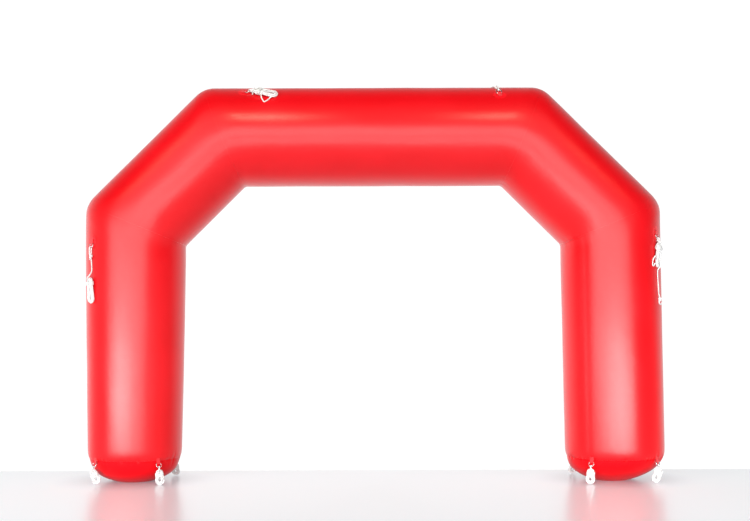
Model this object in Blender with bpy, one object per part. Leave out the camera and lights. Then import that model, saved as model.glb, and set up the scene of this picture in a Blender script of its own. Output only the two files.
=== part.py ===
"""Airtight inflatable arch: five welded tube sections, two domed bases, and its guy ropes.

The arch stands on +Z, spans X and faces -Y. All sizes are in metres. The tube sections meet at
45 degree mitres, each with a small gap to its neighbour. Guy ropes hang from D-rings: two on
the legs, two on the beam and four round each foot, two of them with no rope.
"""
import math
from collections import namedtuple

import bmesh
import bpy
from mathutils import Matrix, Vector

# ---------------------------------------------------------------- driving dimensions
GAP = 0.0003                 # clearance that keeps touching pieces apart
WIDTH = 5.0                  # over the tubes, at the shoulders
TUBE_RADIUS = 0.43
BEAM_AXIS_HEIGHT = 2.98
CORNER_RUN = 0.770           # how far a diagonal's axis runs along X and along Z
BEND_RADIUS_OUTER = 0.21     # rounding of a mitre on the outside of the arch
BEND_RADIUS_INNER = 0.03     # and in the crease on the inside
TAPER_TOP = 1.90             # the legs are straight and full above this height

SEAM_HEIGHT = 0.20           # where a leg is welded to its domed base
SEAM_PINCH = 0.010           # how far that seam is drawn in
PINCH_REACH = 0.12           # height over which the leg swells out again
FOOTPRINT_RADIUS = 0.155     # flat patch that a base stands on
DOME_SLOPE = 0.28            # share of a base's width lost at the seam's own slope

PATCH_RADIUS = 0.055         # round patch under each upper D-ring
PATCH_THICKNESS = 0.002
STRAP_WIDTH = 0.034
STRAP_THICKNESS = 0.0015
STRAP_LENGTH = 0.042         # welded length behind the D-ring's bar
RING_WIRE = 0.003            # radius of the D-ring's wire
RING_HALF_WIDTH = 0.023      # bar to side, between wire centres
RING_DEPTH = 0.036           # bar to bow, between wire centres
RING_CORNER = 0.005
RING_TILT = math.radians(20)  # how far the rope lifts a ring off the skin

ROPE_RADIUS = 0.005
ROPE_SLACK = 0.0008          # room between a rope and the wire it turns round
STRAND_PITCH = 0.0056        # half the distance between two strands lying side by side

SIDES = 48                   # facets round a tube
PATCH_SIDES = 18
BEND_STEPS = 3
DOME_STEPS = 7

# Each leg: which side it is on, its radius at the base, how far its base leans outwards, how
# far its footprint is set outwards from there, and how full its dome is.
Leg = namedtuple("Leg", "name side base_radius lean toe fullness")
LEGS = (
    Leg("left", -1, 0.400, -0.004, 0.0, 4),
    Leg("right", 1, 0.424, 0.015, -0.040, 3),
)
LEG = {leg.name: leg for leg in LEGS}

# Hanks: over-all length and width, and the thickness of the wound strands.
Hank = namedtuple("Hank", "length width strand")
LONG_HANK = Hank(0.222, 0.084, 0.031)
SHORT_HANK = Hank(0.126, 0.074, 0.027)
HANK_TAPER = 0.8             # how much narrower its top turns are
HANK_GROOVE = 0.88           # how deep the grooves between its strands go
WRAP_START = 0.95            # where its binding starts, in strand thicknesses
WRAP_LENGTH = 0.030
WRAP_RISE = 0.009            # how far the binding stands proud of the strands
FOOT_HANK_TOP = 0.050        # below a foot ring's bar
FOOT_BAR_HEIGHT = SEAM_HEIGHT - 0.022

# Where the D-rings sit round a foot, as bearings from the front towards the outside of the
# arch, for the left foot and the right one, and how the hank under each one hangs: its lean
# away from the foot, its turn about its own length and its roll towards the front or the back,
# in degrees. The outer rear rings carry no rope.
Tie = namedtuple("Tie", "place bearings lean turn roll hank")
FOOT_TIES = (
    Tie("outer_front", (45, 45), 4, -38, 30, True),
    Tie("inner_front", (-40, -38), 9, 40, 0, True),
    Tie("inner_rear", (-135, -135), 10, -30, 0, True),
    Tie("outer_rear", (135, 135), 0, 0, 0, False),
)

HALF_BEND = math.radians(22.5)
LEG_AXIS = WIDTH / 2 - TUBE_RADIUS
CORNER_HEIGHT = BEAM_AXIS_HEIGHT - CORNER_RUN
BEAM_HALF_LENGTH = LEG_AXIS - CORNER_RUN
ARCH_OFFSET = (LEG["right"].lean + LEG["right"].base_radius - TUBE_RADIUS) / 2
LOOP_RADIUS = RING_WIRE + ROPE_SLACK + ROPE_RADIUS      # rope's centre line round the ring's wire
EYE_RADIUS = RING_WIRE + GAP + STRAP_THICKNESS / 2
BOW_ALONG = RING_DEPTH * math.cos(RING_TILT)
BOW_RISE = RING_DEPTH * math.sin(RING_TILT)
STRAP_SAG = STRAP_WIDTH ** 2 / (8 * TUBE_RADIUS)    # of a strap bent round a tube


# ---------------------------------------------------------------- scene and materials
def clear_scene():
    for item in list(bpy.data.objects):
        bpy.data.objects.remove(item, do_unlink=True)


def material(name, colour, roughness, metallic=0.0):
    result = bpy.data.materials.new(name)
    result.use_nodes = True
    shader = result.node_tree.nodes["Principled BSDF"]
    shader.inputs["Base Color"].default_value = (*colour, 1.0)
    shader.inputs["Roughness"].default_value = roughness
    shader.inputs["Metallic"].default_value = metallic
    return result


def add_object(name, data, finish, parent):
    result = bpy.data.objects.new(name, data)
    bpy.context.scene.collection.objects.link(result)
    result.data.materials.append(finish)
    result.parent = parent
    return result


def mesh_object(name, bm, finish, parent):
    bmesh.ops.recalc_face_normals(bm, faces=bm.faces)
    mesh = bpy.data.meshes.new(name)
    bm.to_mesh(mesh)
    bm.free()
    mesh.shade_smooth()
    mesh.set_sharp_from_angle(angle=math.radians(40))
    return add_object(name, mesh, finish, parent)


def loft(rings, closed=False, apex=None):
    """Skin a run of rings; the ends are flat caps, fans to a point, or joined to each other."""
    bm = bmesh.new()
    loops = [[bm.verts.new(point) for point in ring] for ring in rings]
    count = len(loops[0])
    for low, high in zip(loops, loops[1:] + (loops[:1] if closed else [])):
        for i in range(count):
            j = (i + 1) % count
            bm.faces.new((low[i], low[j], high[j], high[i]))
    if apex:
        for loop, point in ((loops[0], apex[0]), (loops[-1], apex[1])):
            tip = bm.verts.new(point)
            for i in range(count):
                bm.faces.new((loop[i], loop[(i + 1) % count], tip))
    elif not closed:
        bm.faces.new(loops[0])
        bm.faces.new(loops[-1])
    return bm


def lerp(a, b, t):
    return a + (b - a) * t


# ---------------------------------------------------------------- tubes
def bend_rings(corner, toward, outward):
    """Rings of one tube through its half of a rounded mitre, ending on the mitre plane."""
    across = Vector((0, 1, 0))
    plane_normal = toward * math.cos(HALF_BEND) - outward * math.sin(HALF_BEND)
    rings = []
    for step in range(BEND_STEPS + 1):
        turn = HALF_BEND * step / BEND_STEPS
        ring = []
        for side in range(SIDES):
            angle = 2 * math.pi * side / SIDES
            share = math.sqrt((1 + math.cos(angle)) / 2)
            radius = lerp(BEND_RADIUS_INNER, BEND_RADIUS_OUTER, share)
            offset = outward * math.cos(angle) + across * math.sin(angle)
            reach = TUBE_RADIUS * math.cos(angle) * math.tan(HALF_BEND)
            start = corner + offset * TUBE_RADIUS + toward * (reach - radius * math.tan(HALF_BEND))
            bend = toward * math.sin(turn) - outward * (1 - math.cos(turn))
            ring.append(start + bend * radius)
        rings.append(ring)
    rings[-1] = [point - plane_normal * (GAP / 2) for point in rings[-1]]
    return rings


def leg_section(leg, height):
    """Radius and centre of a leg's tube at one height."""
    fall = min(1.0, max(0.0, (TAPER_TOP - height) / (TAPER_TOP - SEAM_HEIGHT)))
    radius = lerp(TUBE_RADIUS, leg.base_radius, fall)
    pinch = max(0.0, 1 - (height - SEAM_HEIGHT) / PINCH_REACH)
    return radius - SEAM_PINCH * pinch ** 2, leg.side * (LEG_AXIS + leg.lean * fall)


def level_ring(leg, height, radius, centre):
    outward = Vector((leg.side, 0, 0))
    ring = []
    for side in range(SIDES):
        angle = 2 * math.pi * side / SIDES
        offset = outward * math.cos(angle) + Vector((0, 1, 0)) * math.sin(angle)
        ring.append(Vector((centre, 0, height)) + offset * radius)
    return ring


def make_leg(leg, finish, parent):
    heights = [SEAM_HEIGHT, FOOT_BAR_HEIGHT + STRAP_LENGTH]
    heights += [SEAM_HEIGHT + PINCH_REACH * share for share in (0.4, 0.7, 1)] + [TAPER_TOP]
    rings = [level_ring(leg, height, *leg_section(leg, height)) for height in heights]
    corner = Vector((leg.side * LEG_AXIS, 0, CORNER_HEIGHT))
    rings += bend_rings(corner, Vector((0, 0, 1)), Vector((leg.side, 0, 0)))
    return mesh_object(f"leg_{leg.name}", loft(rings), finish, parent)


def make_base(leg, finish, parent):
    """The base rounds in below its seam and is flattened where it stands."""
    seam_radius, centre = leg_section(leg, SEAM_HEIGHT)
    rings = []
    for step in range(DOME_STEPS + 1):
        down = math.sin(math.pi / 2 * step / DOME_STEPS)
        height = (SEAM_HEIGHT - GAP) * (1 - down)
        kept = 1 - DOME_SLOPE * down - (1 - DOME_SLOPE) * down ** leg.fullness
        radius = lerp(FOOTPRINT_RADIUS, seam_radius, kept)
        rings.append(level_ring(leg, height, radius, centre + leg.side * leg.toe * down))
    return mesh_object(f"base_{leg.name}", loft(rings), finish, parent)


def make_diagonal(leg, finish, parent):
    low = Vector((leg.side * LEG_AXIS, 0, CORNER_HEIGHT))
    high = Vector((leg.side * BEAM_HALF_LENGTH, 0, BEAM_AXIS_HEIGHT))
    along = (high - low).normalized()
    outward = Vector((leg.side, 0, 1)).normalized()
    rings = bend_rings(low, -along, outward)[::-1] + bend_rings(high, along, outward)
    return mesh_object(f"diagonal_{leg.name}", loft(rings), finish, parent)


def make_beam(finish, parent):
    up = Vector((0, 0, 1))
    ends = [Vector((side * BEAM_HALF_LENGTH, 0, BEAM_AXIS_HEIGHT)) for side in (-1, 1)]
    rings = bend_rings(ends[0], Vector((-1, 0, 0)), up)[::-1]
    rings += bend_rings(ends[1], Vector((1, 0, 0)), up)
    return mesh_object("beam", loft(rings), finish, parent)


# ---------------------------------------------------------------- places on the skin
# A place turns (across, along, lift) into a point: along runs from the D-ring's bar towards
# its bow, and lift is the height above the skin.
def leg_place(leg, bearing, height):
    def place(across, along, lift):
        radius, centre = leg_section(leg, height - along)
        angle = math.radians(bearing) + across / radius
        reach = radius + lift
        x = centre + leg.side * reach * math.sin(angle)
        return Vector((x, -reach * math.cos(angle), height - along))
    return place


def beam_place(x, elevation, heading):
    """On the beam, along runs up the slope, turned by the heading towards +X."""
    turn = math.radians(heading)

    def place(across, along, lift):
        slide = across * math.cos(turn) + along * math.sin(turn)
        climb = along * math.cos(turn) - across * math.sin(turn)
        angle = math.radians(elevation) + climb / TUBE_RADIUS
        reach = TUBE_RADIUS + lift
        return Vector((x + slide, -reach * math.cos(angle), BEAM_AXIS_HEIGHT + reach * math.sin(angle)))
    return place


def foot_place(leg, bearing):
    """At a foot the frame is flat and upright, its lift measured from the leg above the seam."""
    radius, centre = leg_section(leg, FOOT_BAR_HEIGHT + STRAP_LENGTH)
    angle = math.radians(bearing)
    radial = Vector((leg.side * math.sin(angle), -math.cos(angle), 0))
    tangent = Vector((leg.side * math.cos(angle), math.sin(angle), 0))
    origin = Vector((centre, 0, FOOT_BAR_HEIGHT)) + radial * radius

    def place(across, along, lift):
        return origin + tangent * across + radial * lift - Vector((0, 0, along))
    return place


# ---------------------------------------------------------------- patches, straps and D-rings
def make_patch(name, place, finish, parent):
    """A round patch that follows the tube, with a thinner edge."""
    centre = -STRAP_LENGTH / 2
    top = GAP + PATCH_THICKNESS
    profile = ((0.4, GAP), (0.75, GAP), (1.0, GAP), (1.0, lerp(GAP, top, 0.4)), (0.95, top),
               (0.75, top), (0.4, top))
    rings = []
    for share, lift in profile:
        ring = []
        for side in range(PATCH_SIDES):
            angle = 2 * math.pi * side / PATCH_SIDES
            reach = PATCH_RADIUS * share
            ring.append(place(reach * math.cos(angle), centre + reach * math.sin(angle), lift))
        rings.append(ring)
    tips = (place(0, centre, GAP), place(0, centre, top))
    return mesh_object(f"patch_{name}", loft(rings, apex=tips), finish, parent)


def make_strap(name, place, base_lift, finish, parent):
    """Webbing folded round the ring's bar, with both layers welded down behind it."""
    half = STRAP_THICKNESS / 2
    lower = base_lift + half
    upper = lower + STRAP_THICKNESS + GAP
    centre = lower + EYE_RADIUS
    path = [(-STRAP_LENGTH, lower), (-0.4 * STRAP_LENGTH, lower)]
    for step in range(8):
        angle = math.radians(-90 + 28 * step)
        path.append((EYE_RADIUS * math.cos(angle), centre + EYE_RADIUS * math.sin(angle)))
    path += [(-0.22 * STRAP_LENGTH, lerp(upper, centre, 0.35)), (-0.45 * STRAP_LENGTH, upper),
             (-STRAP_LENGTH, upper)]
    rings = []
    for i, (along, lift) in enumerate(path):
        before = Vector(path[max(i - 1, 0)])
        after = Vector(path[min(i + 1, len(path) - 1)])
        run = (after - before).normalized()
        ring = []
        for side, face in ((-1, -1), (1, -1), (1, 1), (-1, 1)):
            ring.append(place(side * STRAP_WIDTH / 2, along - face * half * run.y,
                              lift + face * half * run.x))
        rings.append(ring)
    return mesh_object(f"strap_{name}", loft(rings), finish, parent)


def ring_outline():
    """The D-ring's wire centre line: a bar, two rounded corners and a half-round bow."""
    points = []
    straight = RING_HALF_WIDTH - RING_CORNER
    for side in (1, -1):
        corner = []
        for step in range(4):
            angle = math.radians(30 * step)
            corner.append((side * (straight + RING_CORNER * math.sin(angle)),
                           RING_CORNER * (1 - math.cos(angle))))
        if side == 1:
            points += corner
            for step in range(8):
                angle = math.pi * step / 7
                points.append((RING_HALF_WIDTH * math.cos(angle),
                               RING_DEPTH - RING_HALF_WIDTH * (1 - math.sin(angle))))
        else:
            points += corner[::-1]
    return points


def make_ring(name, place, bar_lift, finish, parent):
    path = [Vector(point) for point in ring_outline()]
    rings = []
    for i, point in enumerate(path):
        run = (path[(i + 1) % len(path)] - path[i - 1]).normalized()
        side = Vector((run.y, -run.x))
        ring = []
        for facet in range(6):
            angle = math.pi * facet / 3
            flat = point + side * RING_WIRE * math.cos(angle)
            rise = RING_WIRE * math.sin(angle)
            along = flat.y * math.cos(RING_TILT) - rise * math.sin(RING_TILT)
            lift = bar_lift + flat.y * math.sin(RING_TILT) + rise * math.cos(RING_TILT)
            ring.append(place(flat.x, along, lift))
        rings.append(ring)
    return mesh_object(f"ring_{name}", loft(rings, closed=True), finish, parent)


# ---------------------------------------------------------------- ropes
def smooth_route(rows):
    """A smooth curve through a route's rows, with about one sample for two rope diameters."""
    points = [Vector(row) for row in rows]
    padded = [points[0] * 2 - points[1]] + points + [points[-1] * 2 - points[-2]]
    samples = []
    for before, start, end, after in zip(padded, padded[1:], padded[2:], padded[3:]):
        count = max(1, round((end - start).length / (4.5 * ROPE_RADIUS)))
        for step in range(count):
            t = step / count
            samples.append(0.5 * (2 * start + (end - before) * t
                                  + (2 * before - 5 * start + 4 * end - after) * t * t
                                  + (3 * start - before - 3 * end + after) * t ** 3))
    return samples + [points[-1]]


def make_rope(name, place, rows, finish, parent):
    """A rope whose route is given in a place's across, along and lift."""
    curve = bpy.data.curves.new(name, "CURVE")
    curve.dimensions = "3D"
    curve.bevel_depth = ROPE_RADIUS
    curve.bevel_resolution = 2
    curve.use_fill_caps = True
    curve.render_resolution_u = 0
    samples = [place(*row) for row in smooth_route(rows)]
    spline = curve.splines.new("POLY")
    spline.points.add(len(samples) - 1)
    for knot, sample in zip(spline.points, samples):
        knot.co = (*sample, 1.0)
    return add_object(name, curve, finish, parent)


def bow_loop(lift):
    """The rope's turn round the bow of a ring: up its front, over it and down its back."""
    points = []
    for step in range(7):
        angle = math.radians(30 * step)
        points.append((0.0, BOW_ALONG - LOOP_RADIUS * math.sin(angle),
                       lift + BOW_RISE + LOOP_RADIUS * math.cos(angle)))
    return points


def hank_frame(place, hank, top, lean=0.0, turn=0.0, roll=0.0):
    """Maps a hank's side, down and face directions to a place, hung from its top strands."""
    tip = Matrix.Rotation(math.radians(lean), 3, "X")
    spin = Matrix.Rotation(math.radians(turn), 3, "Y") @ Matrix.Rotation(math.radians(roll), 3, "Z")
    pivot = Vector((0, hank.strand / 2, 0))
    eye = Vector((0, (hank.strand + HANK_TAPER * (hank.width - hank.strand)) / 2, 0))

    def frame(side, down, face):
        rolled = eye + spin @ (Vector((side, down, face)) - eye)
        return place(*(Vector(top) + pivot + tip @ (rolled - pivot)))
    return frame


def hank_outline(hank):
    """Centre line of the wound strands: a long ring, a little narrower at its top."""
    wide = (hank.width - hank.strand) / 2
    narrow = HANK_TAPER * wide
    top = hank.strand / 2 + narrow
    bottom = hank.length - hank.strand / 2 - wide
    points = []
    for step in range(7):
        angle = math.radians(180 + 30 * step)
        points.append((narrow * math.cos(angle), top + narrow * math.sin(angle)))
    for step in (1, 2):
        points.append((lerp(narrow, wide, step / 3), lerp(top, bottom, step / 3)))
    for step in range(7):
        angle = math.radians(30 * step)
        points.append((wide * math.cos(angle), bottom + wide * math.sin(angle)))
    for step in (1, 2):
        points.append((-lerp(wide, narrow, step / 3), lerp(bottom, top, step / 3)))
    return [Vector(point) for point in points]


def make_hank(name, frame, hank, finish, parent):
    """A wound hank: ridged strands twisting slowly round a long ring, bound near the top."""
    path = hank_outline(hank)
    rings = []
    for i, point in enumerate(path):
        run = (path[(i + 1) % len(path)] - path[i - 1]).normalized()
        side = Vector((run.y, -run.x))
        ring = []
        for facet in range(8):
            angle = math.pi * facet / 4
            radius = hank.strand / 2 * (HANK_GROOVE if facet % 2 else 1.0)
            flat = point + side * radius * math.cos(angle)
            ring.append(frame(flat.x, flat.y, radius * math.sin(angle)))
        rings.append(ring)
    body = mesh_object(name, loft(rings, closed=True), finish, parent)
    bind = body.modifiers.new("binding", "BOOLEAN")
    bind.operation = "UNION"
    bind.solver = "EXACT"
    bind.object = make_binding(f"{name}_binding", frame, hank, finish, parent)


def make_binding(name, frame, hank, finish, parent):
    """The wraps that bind a hank near its top, as a guide that is joined to it."""
    half_width = (HANK_TAPER * (hank.width - hank.strand) + hank.strand) / 2 + WRAP_RISE / 2
    half_depth = hank.strand / 2 + WRAP_RISE
    rings = []
    for down, share in ((0, 0.82), (0.2, 1.0), (0.8, 1.0), (1, 0.82)):
        ring = []
        for facet in range(12):
            angle = math.pi * facet / 6
            ring.append(frame(half_width * share * math.cos(angle),
                              WRAP_START * hank.strand + down * WRAP_LENGTH,
                              half_depth * share * math.sin(angle)))
        rings.append(ring)
    guide = mesh_object(name, loft(rings), finish, parent)
    guide.hide_render = True
    guide.display_type = "WIRE"
    return guide


def tie_route(lift, hank_top, hank_lift):
    """Both strands of a tie: up from the hank in front of the bow, over it and down behind."""
    front, back = hank_lift + STRAND_PITCH, hank_lift - STRAND_PITCH
    end, straight = hank_top - GAP, hank_top - ROPE_RADIUS
    return ([(0.0, end, front), (0.0, straight, front)] + bow_loop(lift)
            + [(0.0, straight, back), (0.0, end, back)])


def bowline_route(lift):
    """A loop tied on a ring: its tail, up the front strand, over the bow and down the back."""
    rest = ROPE_RADIUS + GAP
    front = [(0.030, 0.119, rest), (0.016, 0.118, 0.0065), (0.007, 0.110, 0.0090),
             (0.006, 0.094, 0.0140), (0.005, 0.070, 0.0220), (0.002, 0.048, 0.0275)]
    back = [(-0.002, 0.052, 0.0105), (-0.005, 0.070, 0.0085), (-0.006, 0.094, 0.0065),
            (-0.006, 0.120, rest), (-0.003, 0.150, rest)]
    return front + bow_loop(lift) + back


# ---------------------------------------------------------------- fittings with their ropes
def fit_ring(name, place, base, finishes, parent):
    """A D-ring in its strap, on a skin or a patch of the given height; returns its bar's lift."""
    bar_lift = base + STRAP_THICKNESS / 2 + EYE_RADIUS
    make_strap(name, place, base, finishes["webbing"], parent)
    make_ring(name, place, bar_lift, finishes["steel"], parent)
    return bar_lift


def fit_patched_ring(name, place, finishes, parent):
    make_patch(name, place, finishes["skin"], parent)
    return fit_ring(name, place, PATCH_THICKNESS + STRAP_SAG + 2 * GAP, finishes, parent)


def fit_long_hank(name, place, top, finishes, parent):
    """A long hank lying on the skin: its binding holds its top off, its bottom touches."""
    reach = LONG_HANK.length - LONG_HANK.strand
    low = LONG_HANK.strand / 2 + GAP
    high = low + WRAP_RISE * 1.35
    lean = -math.degrees(math.atan2(high - low, reach))
    frame = hank_frame(place, LONG_HANK, (0, top, high), lean)
    make_hank(f"hank_{name}", frame, LONG_HANK, finishes["rope"], parent)
    return high


def fit_guy_leg_left(finishes, parent):
    """A bowline, then a strand down to a hank."""
    place = leg_place(LEG["left"], 47, 2.030)
    lift = fit_patched_ring("leg_left", place, finishes, parent)
    top = 0.286
    high = fit_long_hank("leg_left", place, top, finishes, parent)
    rest = ROPE_RADIUS + GAP
    rows = bowline_route(lift) + [(0.0, 0.190, rest), (0.0, 0.230, 0.009), (0.0, 0.263, 0.018),
                                  (0.0, top - GAP, high)]
    make_rope("rope_leg_left", place, rows, finishes["rope"], parent)


def fit_guy_leg_right(finishes, parent):
    """The hank is tied straight to the ring; a loop strays from it and its end hangs down."""
    place = leg_place(LEG["right"], 52.5, 2.094)
    lift = fit_patched_ring("leg_right", place, finishes, parent)
    top = 0.062
    high = fit_long_hank("leg_right", place, top, finishes, parent)
    rest = ROPE_RADIUS + GAP
    make_rope("tie_leg_right", place, tie_route(lift, top, high), finishes["rope"], parent)
    stray = [(-0.0421, 0.180, 0.022), (-0.055, 0.186, 0.017), (-0.068, 0.213, 0.0080),
             (-0.072, 0.243, rest), (-0.070, 0.263, rest), (-0.062, 0.267, 0.0080),
             (-0.057, 0.252, 0.013), (-0.0436, 0.243, 0.018)]
    make_rope("loop_leg_right", place, stray, finishes["rope"], parent)
    bottom = top + LONG_HANK.length
    tail = [(0.0, bottom + GAP, 0.0155), (0.003, 0.305, 0.0080), (0.010, 0.360, rest),
            (0.018, 0.430, rest), (0.025, 0.500, rest), (0.029, 0.540, rest),
            (0.027, 0.562, rest), (0.032, 0.582, 0.0065), (0.049, 0.592, 0.0100),
            (0.065, 0.584, 0.0160), (0.072, 0.570, 0.0210)]
    make_rope("end_leg_right", place, tail, finishes["rope"], parent)


def fit_guy_beam_left(finishes, parent):
    """A hank lying along the front of the beam's top, with one loop drooping from it."""
    place = beam_place(-1.085, 55.5, 104)
    lift = fit_patched_ring("beam_left", place, finishes, parent)
    top = 0.062
    high = fit_long_hank("beam_left", place, top, finishes, parent)
    rest = ROPE_RADIUS + GAP
    make_rope("tie_beam_left", place, tie_route(lift, top, high), finishes["rope"], parent)
    bight = [(0.0396, 0.146, 0.022), (0.051, 0.149, 0.015), (0.073, 0.162, 0.0070),
             (0.095, 0.180, rest), (0.106, 0.192, rest), (0.098, 0.204, rest),
             (0.076, 0.219, 0.0065), (0.054, 0.230, 0.0125), (0.0431, 0.233, 0.018)]
    make_rope("loop_beam_left", place, bight, finishes["rope"], parent)


def fit_guy_beam_right(finishes, parent):
    """The strand goes up over the beam, and its hank lies on the slope behind."""
    place = beam_place(1.085, 50.5, -8)
    lift = fit_patched_ring("beam_right", place, finishes, parent)
    top = 0.500
    high = fit_long_hank("beam_right", place, top, finishes, parent)
    rest = ROPE_RADIUS + GAP
    rows = bowline_route(lift) + [(0.0, 0.200, rest), (0.0, 0.270, rest), (0.0, 0.350, rest),
                                  (0.0, 0.420, rest), (0.0, 0.450, 0.009), (0.0, 0.480, 0.018),
                                  (0.0, top - GAP, high)]
    make_rope("rope_beam_right", place, rows, finishes["rope"], parent)


def fit_foot_ties(leg, finishes, parent):
    """The D-rings round a foot; a short hank hangs from each one that carries a rope."""
    for tie in FOOT_TIES:
        name = f"{leg.name}_{tie.place}"
        place = foot_place(leg, tie.bearings[leg.side > 0])
        lift = fit_ring(name, place, GAP, finishes, parent)
        if tie.hank:
            top = (0, FOOT_HANK_TOP, lift + BOW_RISE)
            fall = SHORT_HANK.strand / 4 * (1 - math.cos(math.radians(tie.lean)))
            rows = tie_route(lift, FOOT_HANK_TOP + fall, lift + BOW_RISE)
            make_rope(f"tie_{name}", place, rows, finishes["rope"], parent)
            frame = hank_frame(place, SHORT_HANK, top, tie.lean, tie.turn, tie.roll)
            make_hank(f"hank_{name}", frame, SHORT_HANK, finishes["rope"], parent)


def main():
    clear_scene()
    finishes = {
        "skin": material("pvc_skin", (0.80, 0.015, 0.02), 0.35),
        "webbing": material("webbing", (0.62, 0.01, 0.015), 0.6),
        "steel": material("steel", (0.62, 0.62, 0.64), 0.25, 1.0),
        "rope": material("rope", (0.90, 0.90, 0.88), 0.7),
    }

    # The right leg stands further out, so the whole arch is set half of that back.
    arch = bpy.data.objects.new("arch", None)
    bpy.context.scene.collection.objects.link(arch)
    arch.location.x = -ARCH_OFFSET

    for leg in LEGS:
        make_base(leg, finishes["skin"], arch)
        make_leg(leg, finishes["skin"], arch)
        make_diagonal(leg, finishes["skin"], arch)
        fit_foot_ties(leg, finishes, arch)
    make_beam(finishes["skin"], arch)
    fit_guy_leg_left(finishes, arch)
    fit_guy_leg_right(finishes, arch)
    fit_guy_beam_left(finishes, arch)
    fit_guy_beam_right(finishes, arch)


main()
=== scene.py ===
"""Looks of an airtight inflatable arch: its coated skin and welded seams, D-rings and guy ropes.

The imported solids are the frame. Every skin section, patch, strap and D-ring is remade in its
solid's place, and each rope becomes one braided line from its ring to its hank.
All sizes are in metres.
"""
import math
from collections import namedtuple
from math import cos, pi, radians, sin

import bmesh
import bpy
import numpy as np
from mathutils import Matrix, Vector


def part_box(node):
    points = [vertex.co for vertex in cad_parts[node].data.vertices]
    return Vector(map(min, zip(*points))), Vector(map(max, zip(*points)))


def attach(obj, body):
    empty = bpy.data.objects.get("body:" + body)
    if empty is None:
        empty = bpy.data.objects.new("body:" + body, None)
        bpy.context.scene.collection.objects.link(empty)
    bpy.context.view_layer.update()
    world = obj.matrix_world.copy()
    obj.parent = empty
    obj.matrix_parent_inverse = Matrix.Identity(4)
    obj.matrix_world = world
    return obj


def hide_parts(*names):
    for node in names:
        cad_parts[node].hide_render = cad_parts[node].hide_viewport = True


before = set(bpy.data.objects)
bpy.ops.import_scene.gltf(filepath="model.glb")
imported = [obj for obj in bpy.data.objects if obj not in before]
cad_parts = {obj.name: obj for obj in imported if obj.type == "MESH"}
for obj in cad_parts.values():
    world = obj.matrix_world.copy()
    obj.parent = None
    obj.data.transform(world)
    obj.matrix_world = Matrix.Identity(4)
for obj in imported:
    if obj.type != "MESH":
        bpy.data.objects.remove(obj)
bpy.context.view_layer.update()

# ---- sizes
# They are the solids' own, but for the deeper seam pinch and the bend radius that is added.
BEAM_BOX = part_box("beam")
GAP = 0.0003
TUBE_RADIUS = (BEAM_BOX[1].y - BEAM_BOX[0].y) / 2
SEAM_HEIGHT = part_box("leg_left")[0].z
HALF_WIDTH = 2.5
LEG_AXIS = HALF_WIDTH - TUBE_RADIUS
BEAM_AXIS_HEIGHT = BEAM_BOX[1].z - TUBE_RADIUS
CORNER_RUN = 0.770  # a mitred corner's run along each of its two sides
BEND_RADIUS_OUTER = 0.21
BEND_RADIUS_INNER = 0.03
BEND_RADIUS_ADDED = 0.32  # on the front and the back, where a mitre rounds most
TAPER_TOP = 1.90
SEAM_PINCH = 0.013  # how far the base seam is drawn in, and how high that shows
PINCH_REACH = 0.12
FOOTPRINT_RADIUS = 0.155
DOME_SLOPE = 0.28
HALF_BEND = radians(22.5)
CORNER_HEIGHT = BEAM_AXIS_HEIGHT - CORNER_RUN
BEAM_HALF_LENGTH = LEG_AXIS - CORNER_RUN

# The toe is how far a footprint is set out from its seam; fullness is how square a dome is.
Leg = namedtuple("Leg", "name side base_radius lean toe fullness")
LEGS = (
    Leg("left", -1, 0.400, -0.004, 0.0, 4),
    Leg("right", 1, 0.424, 0.015, -0.040, 3),
)
LEFT, RIGHT = LEGS
# The right leg stands further out than the left, and the arch is set half of that back.
ARCH_SHIFT = -(RIGHT.lean + RIGHT.base_radius - TUBE_RADIUS) / 2

PATCH_RADIUS = 0.055
PATCH_THICKNESS = 0.002
PATCH_RIM_SHARE = 0.4  # of the thickness in its middle
STRAP_WIDTH = 0.034
STRAP_THICKNESS = 0.0015
STRAP_LENGTH = 0.042
RING_WIRE = 0.003
RING_HALF_WIDTH = 0.023
RING_DEPTH = 0.036
RING_CORNER = 0.005
RING_TILT = radians(20)
EYE_RADIUS = RING_WIRE + GAP + STRAP_THICKNESS / 2
STRAP_SAG = STRAP_WIDTH ** 2 / (8 * TUBE_RADIUS)
FOOT_BAR_HEIGHT = SEAM_HEIGHT - 0.022

ROPE_RADIUS = 0.005
ROPE = 2 * ROPE_RADIUS
ROPE_SLACK = 0.0008  # room between a rope and the wire it turns round
LOOP_RADIUS = RING_WIRE + ROPE_SLACK + ROPE_RADIUS
REST = ROPE_RADIUS + GAP  # lift of a rope that lies on the skin
BOW_ALONG = RING_DEPTH * cos(RING_TILT)
BOW_RISE = RING_DEPTH * sin(RING_TILT)

# A hank's length and width, the thickness of its strands and how many turns it is wound in.
Hank = namedtuple("Hank", "length width strand turns")
LONG_HANK = Hank(0.222, 0.084, 0.031, 7)
SHORT_HANK = Hank(0.126, 0.074, 0.027, 6)
HANK_TAPER = 0.8  # how much narrower its top turns are
HANK_SLIT = 0.0006  # half the slit between its strands where they are bound
WRAP_START = 0.95  # where its binding starts, in strand thicknesses
WRAP_LENGTH = 0.030
WRAP_RISE = 0.009
WRAPS = 3
ROUND_STEPS = 44  # samples in one of its turns
FOOT_HANK_TOP = 0.050

# Bearings are for the left foot and the right one; lean, turn and roll are how a hank hangs.
Tie = namedtuple("Tie", "place bearings lean turn roll hank")
FOOT_TIES = (
    Tie("outer_front", (45, 45), 4, -38, 30, True),
    Tie("inner_front", (-40, -38), 9, 40, 0, True),
    Tie("inner_rear", (-135, -135), 10, -30, 0, True),
    Tie("outer_rear", (135, 135), 0, 0, 0, False),
)

# ---- fineness
SIDES = 240  # facets round a tube
STRAIGHT_RINGS = 64
BEND_RINGS = 8
DOME_RINGS = 30
ROPE_STEP = 0.004

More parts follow.
